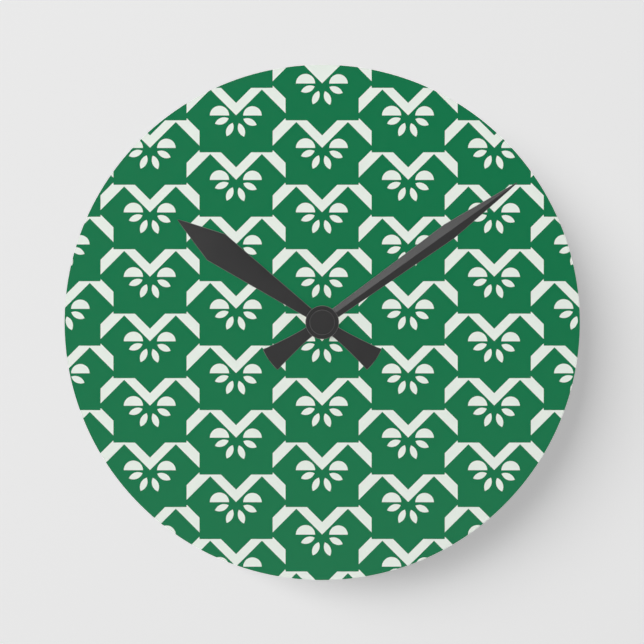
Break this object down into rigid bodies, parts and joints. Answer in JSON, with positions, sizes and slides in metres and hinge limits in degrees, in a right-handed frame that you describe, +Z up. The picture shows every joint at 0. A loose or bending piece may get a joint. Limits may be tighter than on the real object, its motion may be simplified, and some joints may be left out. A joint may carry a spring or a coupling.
{
  "type": "wall clock",
  "caption": "Frameless round acrylic wall clock with a patterned dial, two black hands and a square battery quartz movement behind it.",
  "frame": {"origin": "on the wall plane, behind the hand axis, at the centre of the movement's flat rear face", "axes": "+Z up to 12 on the dial; +Y into the wall, so the dial faces -Y; +X to the right as seen from the front"},
  "size_m": [0.2032, 0.0333, 0.2032],
  "materials": {
    "acrylic": "clear acrylic with polished edge",
    "printed_film": "printed film, green and off-white pattern, satin",
    "hand_black": "stamped metal, satin black paint",
    "case_plastic": "textured black moulded plastic",
    "natural_plastic": "natural white acetal, moulded",
    "black_rubber": "matt rubber",
    "brass": "turned brass",
    "steel": "zinc plated steel",
    "lamination_steel": "rolled lamination steel",
    "magnet": "sintered magnet",
    "copper": "enamelled copper wire",
    "board": "glass fibre board with solder mask",
    "chip": "epoxy dome",
    "cell": "plain wrapped cell with bright ends"
  },
  "bodies": {
    "movement": {"movement_front_case": "case_plastic", "movement_rear_case": "case_plastic", "middle_plate": "natural_plastic", "threaded_bushing": "brass", "hanger": "steel", "rubber_gasket": "black_rubber", "dial_disc": "acrylic", "dial_print": "printed_film", "dial_washer": "brass", "hex_nut": "brass", "stator": "lamination_steel", "coil_core": "lamination_steel", "coil_bobbin": "natural_plastic", "coil_winding": "copper", "circuit_board": "board", "timing_chip": "chip", "quartz_crystal": "steel", "positive_contact": "steel", "negative_contact": "steel"},
    "minute_work": {"minute_hand": "hand_black", "minute_hand_collet": "brass", "cap_nut": "hand_black", "minute_shaft": "steel", "clutch_spring": "steel"},
    "hour_work": {"hour_hand": "hand_black", "hour_hand_collet": "brass", "hour_wheel": "natural_plastic"},
    "setting_work": {"motion_wheel": "natural_plastic", "setting_stem": "steel", "setting_knob": "case_plastic"},
    "rotor": {"rotor_pinion": "natural_plastic", "rotor_magnet": "magnet"},
    "fifth_wheel_work": {"fifth_wheel": "natural_plastic"},
    "second_work": {"second_wheel": "natural_plastic", "second_arbor": "steel"},
    "third_wheel_work": {"third_wheel": "natural_plastic"},
    "centre_wheel_work": {"centre_wheel": "natural_plastic"},
    "cell": {"battery_cell": "cell"}
  },
  "joints": [
    {"name": "minute_hand_turn", "type": "hinge", "parent": "movement", "child": "minute_work", "pos_m": [0, 0, 0], "axis": [0, 1, 0], "continuous": true},
    {"name": "hour_hand_turn", "type": "hinge", "parent": "movement", "child": "hour_work", "pos_m": [0, 0, 0], "axis": [0, 1, 0], "continuous": true},
    {"name": "setting_knob_turn", "type": "hinge", "parent": "movement", "child": "setting_work", "pos_m": [-0.00945, 0, 0.00167], "axis": [0, 1, 0], "continuous": true},
    {"name": "rotor_turn", "type": "hinge", "parent": "movement", "child": "rotor", "pos_m": [-0.00059, 0, 0.01238], "axis": [0, 1, 0], "continuous": true},
    {"name": "fifth_wheel_turn", "type": "hinge", "parent": "movement", "child": "fifth_wheel_work", "pos_m": [-0.00299, 0, 0.00822], "axis": [0, 1, 0], "continuous": true},
    {"name": "second_wheel_turn", "type": "hinge", "parent": "movement", "child": "second_work", "pos_m": [0, 0, 0], "axis": [0, 1, 0], "continuous": true},
    {"name": "third_wheel_turn", "type": "hinge", "parent": "movement", "child": "third_wheel_work", "pos_m": [0.00846, 0, 0.00308], "axis": [0, 1, 0], "continuous": true},
    {"name": "centre_wheel_turn", "type": "hinge", "parent": "movement", "child": "centre_wheel_work", "pos_m": [0, 0, 0], "axis": [0, 1, 0], "continuous": true},
    {"name": "cell_lift_out", "type": "slide", "parent": "movement", "child": "cell", "axis": [0, 1, 0], "range_m": [0, 0.02]}
  ],
  "couplings": [
    {"joint": "hour_hand_turn", "follows": "minute_hand_turn", "ratio": 0.083333},
    {"joint": "setting_knob_turn", "follows": "minute_hand_turn", "ratio": -0.33333},
    {"joint": "fifth_wheel_turn", "follows": "rotor_turn", "ratio": -0.2},
    {"joint": "second_wheel_turn", "follows": "rotor_turn", "ratio": 0.033333},
    {"joint": "third_wheel_turn", "follows": "rotor_turn", "ratio": -0.0041667},
    {"joint": "centre_wheel_turn", "follows": "rotor_turn", "ratio": 0.00055556}
  ]
}
